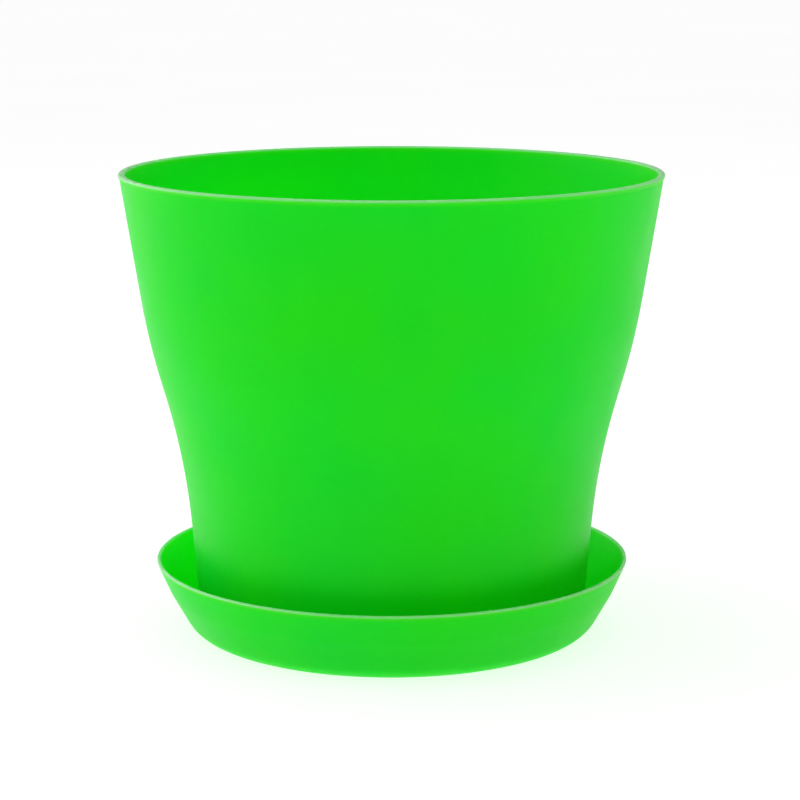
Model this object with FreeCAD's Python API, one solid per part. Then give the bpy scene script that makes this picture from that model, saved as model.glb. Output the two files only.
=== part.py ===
"""Round plastic plant pot standing in a matching drip saucer.

Millimetres, +Z up. The origin is the centre of the saucer's foot, on the surface that it stands on.
Both pieces are single injection mouldings, and both are turned from an outline about the Z axis.
An outline is a list of corners (radius, height, rounding).
"""

import FreeCAD, Part
import math
import os

# Overall sizes
total_height = 163.0
rim_radius = 94.8

# Pot wall: the outer face runs straight between the foot, two soft bends and the rim
pot_wall = 1.6
foot_height = 5.0
foot_radius = 68.5
lower_bend = (73.3, 62.3, 246.0)
upper_bend = (85.4, 104.4, 245.0)
wall_top_radius = 94.6

# Pot rim: a small round bead outside, and a wall that thickens softly towards it inside
rim_thickness = 2.3
rim_taper_height = 12.0
rim_taper_rounding = 60.0
bead_height = 1.0
bead_slope = 0.7
bead_top_rounding = 0.8
bead_edge_rounding = 0.4

# Pot floor, raised inside a foot ring
floor_rise = 3.0
pot_floor = 1.8
foot_ring_width = 2.4
foot_draft = 0.3
inner_floor_rounding = 3.5
small_rounding = 0.6

# Drainage holes through the pot's floor
drain_count = 8
drain_diameter = 8.0
drain_circle_radius = 48.0

# Saucer wall: the outer face runs from the floor's corner, over a slight bend, to the rim
saucer_height = 26.0
saucer_wall = 1.3
saucer_rim_radius = 84.5
saucer_bend = (79.4, 15.2, 11.4)
saucer_corner = (70.9, 0.0, 9.2)
saucer_rim_rounding = 0.6

# Saucer floor, raised a little inside the ring that it stands on
saucer_floor_top = 2.2
saucer_recess = 0.6
saucer_ring_inner_radius = 60.0

# Ribs on the saucer's floor, which the pot's foot stands on
rib_count = 8
rib_width = 1.6
rib_inner_radius = 22.0
rib_root_radius = 69.0
rib_end_radius = 72.9
rib_sink = 0.6

# Gate marks, where the plastic entered each mould
gate_radius = 2.5
gate_height = 0.5

Z_AXIS = FreeCAD.Vector(0, 0, 1)
ORIGIN = FreeCAD.Vector(0, 0, 0)


def at(radius, height):
    """Point in the XZ half plane that the outlines are drawn in."""
    return FreeCAD.Vector(radius, 0, height)


def turn_angle(before, here, after):
    """Signed angle that an outline turns through at a corner, positive to the left."""
    arriving = math.atan2(here[1] - before[1], here[0] - before[0])
    leaving = math.atan2(after[1] - here[1], after[0] - here[0])
    return math.remainder(leaving - arriving, 2 * math.pi)


def rounded_face(corners):
    """Closed face from corners (radius, height, rounding), with a tangent arc at each rounded one."""
    edges = []
    first_point = None
    last_point = None
    count = len(corners)
    for i, corner in enumerate(corners):
        before = at(*corners[i - 1][:2])
        here = at(*corner[:2])
        after = at(*corners[(i + 1) % count][:2])
        to_before = (before - here).normalize()
        to_after = (after - here).normalize()
        half_turn = abs(turn_angle(corners[i - 1], corner, corners[(i + 1) % count])) / 2
        setback = corner[2] * math.tan(half_turn)
        start = here + to_before * setback
        end = here + to_after * setback
        if last_point is not None:
            edges.append(Part.LineSegment(last_point, start).toShape())
        if corner[2] > 0:
            bisector = (to_before + to_after).normalize()
            reach = corner[2] * (1 / math.cos(half_turn) - 1)
            edges.append(Part.Arc(start, here + bisector * reach, end).toShape())
        if first_point is None:
            first_point = start
        last_point = end
    edges.append(Part.LineSegment(last_point, first_point).toShape())
    return Part.Face(Part.Wire(edges))


def turned(corners):
    """Solid made by turning an outline a full circle about the Z axis."""
    return rounded_face(corners).revolve(ORIGIN, Z_AXIS, 360)


def wall_line(lower, upper):
    """Straight wall through two corners, as (slope, radius at height zero)."""
    slope = (upper[0] - lower[0]) / (upper[1] - lower[1])
    return slope, lower[0] - slope * lower[1]


def radius_at(line, height):
    """Radius of a wall line at a height."""
    return line[1] + line[0] * height


def inner_wall(outer, thickness, bottom_height, top_height):
    """Inner face of a wall, upwards from bottom_height to top_height, for outer corners listed upwards.

    Each bend keeps the wall's thickness, so its rounding shrinks or grows by the thickness.
    """
    lines = []
    for lower, upper in zip(outer, outer[1:]):
        slope, start = wall_line(lower, upper)
        lines.append((slope, start - thickness * math.hypot(1, slope)))
    corners = [(radius_at(lines[0], bottom_height), bottom_height)]
    for i in range(1, len(lines)):
        below, above = lines[i - 1], lines[i]
        height = (above[1] - below[1]) / (below[0] - above[0])
        side = math.copysign(1, turn_angle(outer[i - 1], outer[i], outer[i + 1]))
        corners.append((radius_at(below, height), height, outer[i][2] - side * thickness))
    corners.append((radius_at(lines[-1], top_height), top_height))
    return corners


def around(shape, count, phase=0.0):
    """Copies of a shape, spaced evenly about the Z axis."""
    copies = []
    for i in range(count):
        copy = shape.copy()
        copy.rotate(ORIGIN, Z_AXIS, phase + 360.0 * i / count)
        copies.append(copy)
    return copies


def gate_mark(underside):
    """Small round nub left in the middle of a floor, standing down from its underside."""
    return Part.makeCylinder(gate_radius, 2 * gate_height, at(0, underside - gate_height))


def drain_holes():
    """Cylinders that cut the drainage holes, half a step round from the saucer's ribs."""
    hole = Part.makeCylinder(drain_diameter / 2, 2 * foot_height, at(drain_circle_radius, foot_height))
    return around(hole, drain_count, 180.0 / drain_count)


def pot():
    """Pot: tapered wall, beaded rim, raised floor with drainage holes, and foot ring."""
    foot = (foot_radius, foot_height, small_rounding)
    wall_top = (wall_top_radius, total_height)
    bead_bottom = total_height - bead_height
    under_bead = bead_bottom - bead_slope
    floor_underside = foot_height + floor_rise
    floor_top = floor_underside + pot_floor
    ring_inner = foot_radius - foot_ring_width
    taper_bottom = total_height - rim_taper_height
    inner = inner_wall([foot, lower_bend, upper_bend, wall_top], pot_wall, floor_top, taper_bottom)
    corners = [
        foot,
        lower_bend,
        upper_bend,
        (radius_at(wall_line(upper_bend, wall_top), under_bead), under_bead, bead_edge_rounding),
        (rim_radius, bead_bottom, bead_edge_rounding),
        (rim_radius, total_height, bead_top_rounding),
        (rim_radius - rim_thickness, total_height, bead_top_rounding),
        inner[3] + (rim_taper_rounding,),
        inner[2],
        inner[1],
        inner[0] + (inner_floor_rounding,),
        (0.0, floor_top, 0.0),
        (0.0, floor_underside, 0.0),
        (ring_inner - foot_draft, floor_underside, small_rounding),
        (ring_inner, foot_height, small_rounding),
    ]
    return turned(corners).fuse(gate_mark(floor_underside)).cut(drain_holes())


def support_ribs():
    """Radial ribs on the saucer's floor, with their outer ends sunk in the wall's root."""
    root = saucer_floor_top - rib_sink
    points = [
        at(rib_inner_radius, root),
        at(rib_root_radius, root),
        at(rib_end_radius, foot_height),
        at(rib_inner_radius, foot_height),
    ]
    side = Part.Face(Part.makePolygon(points + points[:1]))
    side.translate(FreeCAD.Vector(0, -rib_width / 2, 0))
    return around(side.extrude(FreeCAD.Vector(0, rib_width, 0)), rib_count)


def saucer():
    """Saucer: flared wall with a rounded rim, ribbed floor, and a ring that it stands on."""
    rim = (saucer_rim_radius, saucer_height, saucer_rim_rounding)
    inner = inner_wall([saucer_corner, saucer_bend, rim], saucer_wall, saucer_floor_top, saucer_height)
    corners = [
        saucer_corner,
        saucer_bend,
        rim,
        inner[2] + (saucer_rim_rounding,),
        inner[1],
        inner[0] + (saucer_corner[2] - saucer_wall,),
        (0.0, saucer_floor_top, 0.0),
        (0.0, saucer_recess, 0.0),
        (saucer_ring_inner_radius, saucer_recess, 0.0),
        (saucer_ring_inner_radius + saucer_recess, 0.0, 0.0),
    ]
    return turned(corners).fuse(support_ribs() + [gate_mark(saucer_recess)])


os.makedirs("parts", exist_ok=True)
for name, shape in (("pot", pot()), ("saucer", saucer())):
    solid = shape.removeSplitter().Solids[0]
    state = "valid" if solid.isValid() else "not valid"
    print(name, state, round(solid.Volume), "cubic millimetres")
    solid.exportStep("parts/" + name + ".step")
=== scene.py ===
"""Green plastic plant pot standing in its saucer, on a pale studio floor."""
import math

import bmesh
import bpy
from mathutils import Matrix, Vector


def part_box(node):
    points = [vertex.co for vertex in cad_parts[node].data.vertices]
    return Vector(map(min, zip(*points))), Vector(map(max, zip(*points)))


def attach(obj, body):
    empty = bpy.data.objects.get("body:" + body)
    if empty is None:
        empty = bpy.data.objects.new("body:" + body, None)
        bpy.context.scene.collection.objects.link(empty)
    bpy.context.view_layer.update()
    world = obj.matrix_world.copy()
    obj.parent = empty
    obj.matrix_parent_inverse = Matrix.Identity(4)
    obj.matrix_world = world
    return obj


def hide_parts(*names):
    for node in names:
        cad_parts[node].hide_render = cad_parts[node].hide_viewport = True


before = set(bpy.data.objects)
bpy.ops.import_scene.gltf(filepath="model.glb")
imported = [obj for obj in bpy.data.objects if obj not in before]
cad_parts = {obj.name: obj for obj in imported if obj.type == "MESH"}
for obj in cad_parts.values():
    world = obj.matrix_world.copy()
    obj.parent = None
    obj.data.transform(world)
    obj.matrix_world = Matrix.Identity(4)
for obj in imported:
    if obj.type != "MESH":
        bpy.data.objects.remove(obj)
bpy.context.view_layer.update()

MM = 0.001
pot_low, pot_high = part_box("pot")
saucer_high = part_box("saucer")[1]

# Sizes read from the frame, in metres
rim_radius = pot_high.x
rim_height = pot_high.z
foot_height = pot_low.z
saucer_rim_radius = saucer_high.x
saucer_height = saucer_high.z

# Pot outline, as corners (radius, height, rounding)
pot_wall = 1.6 * MM
foot_radius = 68.5 * MM
lower_bend = (73.3 * MM, 62.3 * MM, 246 * MM)
upper_bend = (85.4 * MM, 104.4 * MM, 245 * MM)
wall_top_radius = rim_radius - 0.2 * MM
rim_thickness = 2.3 * MM
rim_taper_height = 12.0 * MM
rim_taper_rounding = 60.0 * MM
bead_height = 1.0 * MM
bead_slope = 0.7 * MM
bead_top_rounding = 0.8 * MM
bead_edge_rounding = 0.4 * MM
floor_underside = foot_height + 3.0 * MM
floor_top = floor_underside + 1.8 * MM
foot_ring_width = 2.4 * MM
foot_draft = 0.3 * MM
inner_floor_rounding = 3.5 * MM
small_rounding = 0.6 * MM

# Drainage holes, with edges softened by the mould
drain_count = 8
drain_radius = 4.0 * MM
drain_circle_radius = 48.0 * MM
drain_flare = 0.4 * MM

# Saucer outline
saucer_wall = 1.3 * MM
saucer_bend = (79.4 * MM, 15.2 * MM, 11.4 * MM)
saucer_corner = (70.9 * MM, 0.0, 9.2 * MM)
saucer_rim_rounding = 0.6 * MM
saucer_floor_top = 2.2 * MM
saucer_recess = 0.6 * MM
saucer_ring_inner_radius = 60.0 * MM

# Ribs that hold the pot up
rib_count = 8
rib_width = 1.6 * MM
rib_inner_radius = 22.0 * MM
rib_root_radius = 69.0 * MM
rib_end_radius = 72.9 * MM
rib_sink = 0.6 * MM
rib_draft = 0.15 * MM

# Gate marks under both floors
gate_radius = 2.5 * MM
gate_height = 0.5 * MM
gate_rounding = 0.2 * MM

# Plastic colours: the body between cool and warm, the faint flow marks, a painted glow under the rim, and a
# pale rim edge that is a painted highlight
cool_green = (0.001, 0.76, 0.020)
warm_green = (0.015, 0.82, 0.002)
deep_green = (0.001, 0.73, 0.006)
painted_glow_green = (0.050, 0.78, 0.006)
painted_highlight_green = (0.270, 0.76, 0.280)

# Depths under the rim of the painted glow and of the painted highlight, which also marks the rim's glossier
# edge
painted_glow_depth = 2.4 * MM
highlight_and_gloss_depth = 1.0 * MM

# Gloss: the body's roughness range, how much smoother the edge is, and both specular levels
body_roughness = (0.40, 0.50)
edge_smoothing = 0.16
body_specular = 0.12
edge_specular = 0.7

# Noise sizes, in waves per metre, and how far the two bumps rise
cloud_scale = 16.0
flow_scale = 55.0
flow_stretch = (1.0, 1.0, 0.15)
flow_strength = 0.25
wear_scale = 45.0
wave_scale = 30.0
wave_bump = {"Strength": 0.35, "Distance": 0.6 * MM}
grain_scale = 1500.0
grain_bump = {"Strength": 0.25, "Distance": 0.05 * MM}

# Thin plastic that lets light through: how far each colour travels inside it
plastic_ior = 1.5
travel = (0.05, 1.0, 0.08)
travel_scale = 8.0 * MM

# Floor: a matt white sheet that gives off part of its own light
floor_half_width = 12.0
floor_gap = 0.05 * MM
floor_greys = (0.39, 0.41)
floor_roughness = 0.9
floor_specular = 0.1
floor_own_light = 0.76
mottle_scale = 3.0

# Surround: brightness rises along this direction, from the first strength to the second
surround_slant = (-0.45, 0.0, 0.9)
surround_strength = (0.12, 0.62)

# Camera: distance in front, height over the rim, and small turns off level and off centre
camera_distance = 0.858
camera_over_rim = 0.0863
camera_tilt = 0.19311
camera_turn = 0.0034
lens_length = 110.93
sensor_width = 36.0

# Mesh fineness
turns = 288
drain_sides = 48
arc_step = math.radians(9)
wide_arc_step = math.radians(1.2)
wide_arc_radius = 50 * MM
longest_edge = 7 * MM
axis_radius = 1e-9
crease_angle = math.radians(35)


def turn_angle(before, here, after):
    """Signed angle that an outline turns through at a corner, positive to the left."""
    arriving = math.atan2(here[1] - before[1], here[0] - before[0])
    leaving = math.atan2(after[1] - here[1], after[0] - here[0])
    return math.remainder(leaving - arriving, 2 * math.pi)


def corner_points(before, corner, after):
    """Points of the arc that rounds one corner, or the corner itself."""
    if not corner[2]:
        return [Vector(corner[:2])]
    here = Vector(corner[:2])
    to_before = (Vector(before[:2]) - here).normalized()
    to_after = (Vector(after[:2]) - here).normalized()
    turn = turn_angle(before, corner, after)
    start = here + to_before * corner[2] * math.tan(abs(turn) / 2)
    centre = here + (to_before + to_after).normalized() * corner[2] / math.cos(turn / 2)
    step = wide_arc_step if corner[2] > wide_arc_radius else arc_step
    steps = max(2, math.ceil(abs(turn) / step))
    return [centre + Matrix.Rotation(turn * i / steps, 2) @ (start - centre) for i in range(steps + 1)]


def outline_points(corners):
    """Points along an outline that starts and ends on the axis, no further apart than longest_edge."""
    rough = [Vector(corners[0][:2])]
    for before, corner, after in zip(corners, corners[1:], corners[2:]):
        rough += corner_points(before, corner, after)
    rough.append(Vector(corners[-1][:2]))
    points = [rough[0]]
    for start, end in zip(rough, rough[1:]):
        count = max(1, math.ceil((end - start).length / longest_edge))
        points += [start.lerp(end, i / count) for i in range(1, count + 1)]
    return points


def finished_mesh(name, bm):
    """Mesh made from a bmesh, which is freed."""
    mesh = bpy.data.meshes.new(name)
    bm.to_mesh(mesh)
    bm.free()
    return mesh


def turned_mesh(name, corners):
    """Closed mesh made by turning an outline about the Z axis."""
    bm = bmesh.new()
    rings = []
    for radius, height in outline_points(corners):
        if radius < axis_radius:
            rings.append([bm.verts.new((0, 0, height))])
            continue
        angles = [2 * math.pi * i / turns for i in range(turns)]
        rings.append([bm.verts.new((radius * math.cos(a), radius * math.sin(a), height)) for a in angles])
    for lower, upper in zip(rings, rings[1:]):
        for i in range(turns):
            j = (i + 1) % turns
            if len(lower) == 1:
                bm.faces.new((lower[0], upper[j], upper[i]))
            elif len(upper) == 1:
                bm.faces.new((lower[i], lower[j], upper[0]))
            else:
                bm.faces.new((lower[i], lower[j], upper[j], upper[i]))
    bmesh.ops.recalc_face_normals(bm, faces=bm.faces)
    return finished_mesh(name, bm)


def wall_line(lower, upper):
    """Straight wall through two corners, as (slope, radius at height zero)."""
    slope = (upper[0] - lower[0]) / (upper[1] - lower[1])
    return slope, lower[0] - slope * lower[1]


def radius_at(line, height):
    """Radius of a wall line at a height."""
    return line[1] + line[0] * height


def inner_wall(outer, thickness, bottom_height, top_height):
    """Inner face of a wall, upwards from bottom_height to top_height, for outer corners listed upwards."""
    lines = []
    for lower, upper in zip(outer, outer[1:]):
        slope, start = wall_line(lower, upper)
        lines.append((slope, start - thickness * math.hypot(1, slope)))
    corners = [(radius_at(lines[0], bottom_height), bottom_height)]
    for i in range(1, len(lines)):
        below, above = lines[i - 1], lines[i]
        height = (above[1] - below[1]) / (below[0] - above[0])
        side = math.copysign(1, turn_angle(outer[i - 1], outer[i], outer[i + 1]))
        corners.append((radius_at(below, height), height, outer[i][2] - side * thickness))
    corners.append((radius_at(lines[-1], top_height), top_height))
    return corners


def new_object(name, mesh):
    """Object that shows a mesh."""
    piece = bpy.data.objects.new(name, mesh)
    bpy.context.scene.collection.objects.link(piece)
    return piece


def combined(piece, tool_mesh, operation):
    """Cuts a tool mesh from a piece, or joins it on, and keeps the result as the piece's mesh."""
    tool = new_object("tool", tool_mesh)
    boolean = piece.modifiers.new("tool", "BOOLEAN")
    boolean.operation = operation
    boolean.solver = "EXACT"
    boolean.use_self = operation == "UNION"
    boolean.object = tool
    graph = bpy.context.evaluated_depsgraph_get()
    result = bpy.data.meshes.new_from_object(piece.evaluated_get(graph))
    piece.modifiers.clear()
    piece.data = result
    bpy.data.objects.remove(tool)


def smooth(piece):
    """Smooth shading, with a crease only where the surface really turns."""
    piece.data.shade_smooth()
    piece.data.set_sharp_from_angle(angle=crease_angle)


def gate_corners(underside):
    """Outline of the small nub in the middle of a floor's underside, from the axis outwards."""
    return [
        (0.0, underside - gate_height, 0.0),
        (gate_radius, underside - gate_height, gate_rounding),
        (gate_radius, underside, gate_rounding),
    ]


def drain_cutters():
    """Waisted pins that cut the drainage holes and soften their edges."""
    middle = (floor_underside + floor_top) / 2
    half = (floor_top - floor_underside) / 2
    reach = half + small_rounding
    profile = [
        (drain_radius + drain_flare + reach - half, -reach),
        (drain_radius, -half + drain_flare),
        (drain_radius, half - drain_flare),
        (drain_radius + drain_flare + reach - half, reach),
    ]
    bm = bmesh.new()
    for k in range(drain_count):
        place = math.radians(180 / drain_count) + 2 * math.pi * k / drain_count
        x, y = drain_circle_radius * math.cos(place), drain_circle_radius * math.sin(place)
        rings = []
        for radius, height in profile:
            angles = [2 * math.pi * i / drain_sides for i in range(drain_sides)]
            points = [(x + radius * math.cos(a), y + radius * math.sin(a), middle + height) for a in angles]
            rings.append([bm.verts.new(p) for p in points])
        for lower, upper in zip(rings, rings[1:]):
            for i in range(drain_sides):
                j = (i + 1) % drain_sides
                bm.faces.new((lower[i], lower[j], upper[j], upper[i]))
        bm.faces.new(rings[0][::-1])
        bm.faces.new(rings[-1])
    return finished_mesh("drain_cutters", bm)


def pot_shell():
    """The pot: tapered wall, beaded rim, raised floor with drainage holes, and foot ring."""
    foot = (foot_radius, foot_height, small_rounding)
    wall_top = (wall_top_radius, rim_height)
    bead_bottom = rim_height - bead_height
    under_bead = bead_bottom - bead_slope
    ring_inner = foot_radius - foot_ring_width
    taper_bottom = rim_height - rim_taper_height
    inner = inner_wall([foot, lower_bend, upper_bend, wall_top], pot_wall, floor_top, taper_bottom)
    corners = gate_corners(floor_underside) + [
        (ring_inner - foot_draft, floor_underside, small_rounding),
        (ring_inner, foot_height, small_rounding),
        foot,
        lower_bend,
        upper_bend,
        (radius_at(wall_line(upper_bend, wall_top), under_bead), under_bead, bead_edge_rounding),
        (rim_radius, bead_bottom, bead_edge_rounding),
        (rim_radius, rim_height, bead_top_rounding),
        (rim_radius - rim_thickness, rim_height, bead_top_rounding),
        inner[3] + (rim_taper_rounding,),
        inner[2],
        inner[1],
        inner[0] + (inner_floor_rounding,),
        (0.0, floor_top, 0.0),
    ]
    piece = new_object("pot_shell", turned_mesh("pot_shell", corners))
    combined(piece, drain_cutters(), "DIFFERENCE")
    smooth(piece)
    return piece


def rib_mesh():
    """Radial ribs with drafted sides, their outer ends sunk in the wall's root."""
    root = saucer_floor_top - rib_sink
    profile = [
        (rib_inner_radius, root, rib_width / 2 + rib_draft),
        (rib_root_radius, root, rib_width / 2 + rib_draft),
        (rib_end_radius, foot_height, rib_width / 2 - rib_draft),
        (rib_inner_radius + rib_draft, foot_height, rib_width / 2 - rib_draft),
    ]
    bm = bmesh.new()
    for k in range(rib_count):
        spin = Matrix.Rotation(2 * math.pi * k / rib_count, 3, "Z")
        left = [bm.verts.new(spin @ Vector((r, -w, h))) for r, h, w in profile]
        right = [bm.verts.new(spin @ Vector((r, w, h))) for r, h, w in profile]
        bm.faces.new(left)
        bm.faces.new(right[::-1])
        for i in range(len(profile)):
            j = (i + 1) % len(profile)
            bm.faces.new((left[j], left[i], right[i], right[j]))
    bmesh.ops.recalc_face_normals(bm, faces=bm.faces)
    return finished_mesh("ribs", bm)


def saucer_dish():
    """The saucer: flared wall with a rounded rim, ribbed floor, and the ring that it stands on."""
    rim = (saucer_rim_radius, saucer_height, saucer_rim_rounding)
    inner = inner_wall([saucer_corner, saucer_bend, rim], saucer_wall, saucer_floor_top, saucer_height)
    corners = gate_corners(saucer_recess) + [
        (saucer_ring_inner_radius, saucer_recess, 0.0),
        (saucer_ring_inner_radius + saucer_recess, 0.0, 0.0),
        saucer_corner,
        saucer_bend,
        rim,
        inner[2] + (saucer_rim_rounding,),
        inner[1],
        inner[0] + (saucer_corner[2] - saucer_wall,),
        (0.0, saucer_floor_top, 0.0),
    ]
    piece = new_object("saucer_dish", turned_mesh("saucer_dish", corners))
    combined(piece, rib_mesh(), "UNION")
    smooth(piece)
    return piece


def node(tree, kind, **inputs):
    """New shader node with its unlinked inputs set by name, where _ stands for a space."""
    made = tree.nodes.new("ShaderNode" + kind)
    for name, value in inputs.items():
        made.inputs[name.replace("_", " ")].default_value = value
    return made


def noise(tree, place, scale, detail=2.0, stretch=(1, 1, 1)):
    """Noise over the object, fixed to the frame, as a factor from 0 to 1."""
    mapping = node(tree, "Mapping", Scale=stretch)
    tree.links.new(place, mapping.inputs["Vector"])
    made = node(tree, "TexNoise", Scale=scale, Detail=detail)
    tree.links.new(mapping.outputs["Vector"], made.inputs["Vector"])
    return made.outputs["Fac"]


def ranged(tree, factor, low, high, start=0.3, end=0.7):
    """Factor from start to end, mapped onto low to high."""
    made = node(tree, "MapRange", From_Min=start, From_Max=end, To_Min=low, To_Max=high)
    tree.links.new(factor, made.inputs["Value"])
    return made.outputs["Result"]


def mixed(tree, factor, low, high):
    """Colour from low to high by factor. Either end is a colour or an output."""
    made = tree.nodes.new("ShaderNodeMix")
    made.data_type = "RGBA"
    tree.links.new(factor, made.inputs["Factor"])
    ends = [s for s in made.inputs if s.type == "RGBA"]
    for socket, colour in zip(ends, (low, high)):
        if isinstance(colour, tuple):
            socket.default_value = colour + (1.0,)
        else:
            tree.links.new(colour, socket)
    return [s for s in made.outputs if s.type == "RGBA"][0]


def edge_share(tree, place, top, depth):
    """Share that is 1 within the last part of depth under a height, and 0 further down."""
    parts = tree.nodes.new("ShaderNodeSeparateXYZ")
    tree.links.new(place, parts.inputs["Vector"])
    made = node(tree, "MapRange", From_Min=top - depth, From_Max=top - 0.3 * depth)
    made.interpolation_type = "SMOOTHSTEP"
    tree.links.new(parts.outputs["Z"], made.inputs["Value"])
    return made.outputs["Result"]


def blended(tree, factor, low, high):
    """Number from low to high by factor."""
    return ranged(tree, factor, low, high, 0.0, 1.0)


def green_plastic(name, rim):
    """Satin moulded polypropylene: cloudy flow marks, a fine spark-eroded grain, a glossier rim, and a
    painted highlight with a painted glow under it along the rim.
    """
    material = bpy.data.materials.new(name)
    material.use_nodes = True
    tree = material.node_tree
    shader = tree.nodes["Principled BSDF"]
    place = tree.nodes.new("ShaderNodeTexCoord").outputs["Object"]

    cloud = ranged(tree, noise(tree, place, cloud_scale, 2.0), 0.0, 1.0)
    flow = ranged(tree, noise(tree, place, flow_scale, 3.0, flow_stretch), 0.0, 1.0)
    body = mixed(tree, cloud, cool_green, warm_green)
    body = mixed(tree, blended(tree, flow, 0.0, flow_strength), body, deep_green)
    # Painted glow under the rim and painted highlight on the rim edge, mixed into the colour; the highlight
    # share also makes that edge smoother and glossier
    painted_glow = edge_share(tree, place, rim, painted_glow_depth)
    highlight_and_gloss = edge_share(tree, place, rim, highlight_and_gloss_depth)
    body = mixed(tree, painted_glow, body, painted_glow_green)
    body = mixed(tree, highlight_and_gloss, body, painted_highlight_green)
    tree.links.new(body, shader.inputs["Base Color"])

    worn = ranged(tree, noise(tree, place, wear_scale, 4.0), *body_roughness)
    rough = node(tree, "Math")
    rough.operation = "MULTIPLY_ADD"
    tree.links.new(highlight_and_gloss, rough.inputs[0])
    rough.inputs[1].default_value = -edge_smoothing
    tree.links.new(worn, rough.inputs[2])
    tree.links.new(rough.outputs[0], shader.inputs["Roughness"])
    tree.links.new(blended(tree, highlight_and_gloss, body_specular, edge_specular), shader.inputs["Specular IOR Level"])

    waves = node(tree, "Bump", **wave_bump)
    tree.links.new(noise(tree, place, wave_scale, 1.0), waves.inputs["Height"])
    grain = node(tree, "Bump", **grain_bump)
    tree.links.new(noise(tree, place, grain_scale, 2.0), grain.inputs["Height"])
    tree.links.new(waves.outputs["Normal"], grain.inputs["Normal"])
    tree.links.new(grain.outputs["Normal"], shader.inputs["Normal"])
    shader.inputs["IOR"].default_value = plastic_ior
    shader.inputs["Subsurface Weight"].default_value = 1.0
    shader.inputs["Subsurface Radius"].default_value = travel
    shader.inputs["Subsurface Scale"].default_value = travel_scale
    return material


def floor_finish():
    """Matt white sheet with a very faint mottle, which gives off part of its own light."""
    material = bpy.data.materials.new("pale_floor")
    material.use_nodes = True
    tree = material.node_tree
    shader = tree.nodes["Principled BSDF"]
    place = tree.nodes.new("ShaderNodeTexCoord").outputs["Object"]
    mottle = ranged(tree, noise(tree, place, mottle_scale, 4.0), 0.0, 1.0)
    darker, lighter = [(grey, grey, grey) for grey in floor_greys]
    tree.links.new(mixed(tree, mottle, darker, lighter), shader.inputs["Base Color"])
    shader.inputs["Roughness"].default_value = floor_roughness
    shader.inputs["Specular IOR Level"].default_value = floor_specular
    shader.inputs["Emission Color"].default_value = (1.0, 1.0, 1.0, 1.0)
    shader.inputs["Emission Strength"].default_value = floor_own_light
    return material


def add_floor():
    """Wide flat floor, a hair under the saucer's foot so that the faces don't coincide."""
    half = floor_half_width
    mesh = bpy.data.meshes.new("floor")
    points = [(x, y, -floor_gap) for x, y in ((-half, -half), (half, -half), (half, half), (-half, half))]
    mesh.from_pydata(points, [], [(0, 1, 2, 3)])
    floor = new_object("floor", mesh)
    mesh.materials.append(floor_finish())


def softbox(name, place, size, power, colour):
    """Rectangular soft light that points at the middle of the pot."""
    data = bpy.data.lights.new(name, "AREA")
    data.shape = "RECTANGLE"
    data.size, data.size_y = size
    data.energy = power
    data.color = colour
    lamp = bpy.data.objects.new(name, data)
    lamp.location = place
    middle = Vector((0, 0, rim_height / 2))
    lamp.rotation_euler = (middle - Vector(place)).to_track_quat("-Z", "Y").to_euler()
    bpy.context.scene.collection.objects.link(lamp)


def add_lights():
    """White tent, brighter above and on the left, with a bank on the left and weaker ones around it."""
    softbox("left_bank", (-1.2, 0.0, 0.5), (1.0, 1.0), 4.2, (1.0, 0.76, 1.0))
    softbox("left_back_bank", (-0.95, 0.9, 0.5), (1.0, 1.0), 2.6, (1.0, 0.95, 1.0))
    softbox("right_bank", (1.2, 0.0, 0.5), (1.0, 1.0), 0.5, (0.88, 1.0, 0.70))
    softbox("top_bank", (0, 0, 1.4), (1.2, 1.2), 3.0, (1.0, 0.95, 0.97))
    world = bpy.data.worlds.new("surround")
    world.use_nodes = True
    tree = world.node_tree
    direction = tree.nodes.new("ShaderNodeTexCoord").outputs["Generated"]
    slant = tree.nodes.new("ShaderNodeVectorMath")
    slant.operation = "DOT_PRODUCT"
    tree.links.new(direction, slant.inputs[0])
    slant.inputs[1].default_value = surround_slant
    strength = ranged(tree, slant.outputs["Value"], *surround_strength, -1.0, 1.0)
    tree.links.new(strength, tree.nodes["Background"].inputs["Strength"])
    tree.nodes["Background"].inputs["Color"].default_value = (1.0, 1.0, 1.0, 1.0)
    bpy.context.scene.world = world


def add_camera():
    """Long lens a little above the rim, looking slightly down and a touch to the right."""
    data = bpy.data.cameras.new("camera")
    data.sensor_width = sensor_width
    data.lens = lens_length
    camera = bpy.data.objects.new("camera", data)
    camera.location = (0, -camera_distance, rim_height + camera_over_rim)
    camera.rotation_euler = (math.pi / 2 - camera_tilt, 0.0, -camera_turn)
    bpy.context.scene.collection.objects.link(camera)
    bpy.context.scene.camera = camera


add_camera()
add_floor()
add_lights()
bpy.context.scene.view_settings.view_transform = "Standard"

for build, cad_node, rim in ((pot_shell, "pot", rim_height), (saucer_dish, "saucer", saucer_height)):
    piece = build()
    piece.data.materials.clear()
    piece.data.materials.append(green_plastic(cad_node + "_plastic", rim))
    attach(piece, cad_node)
    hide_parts(cad_node)
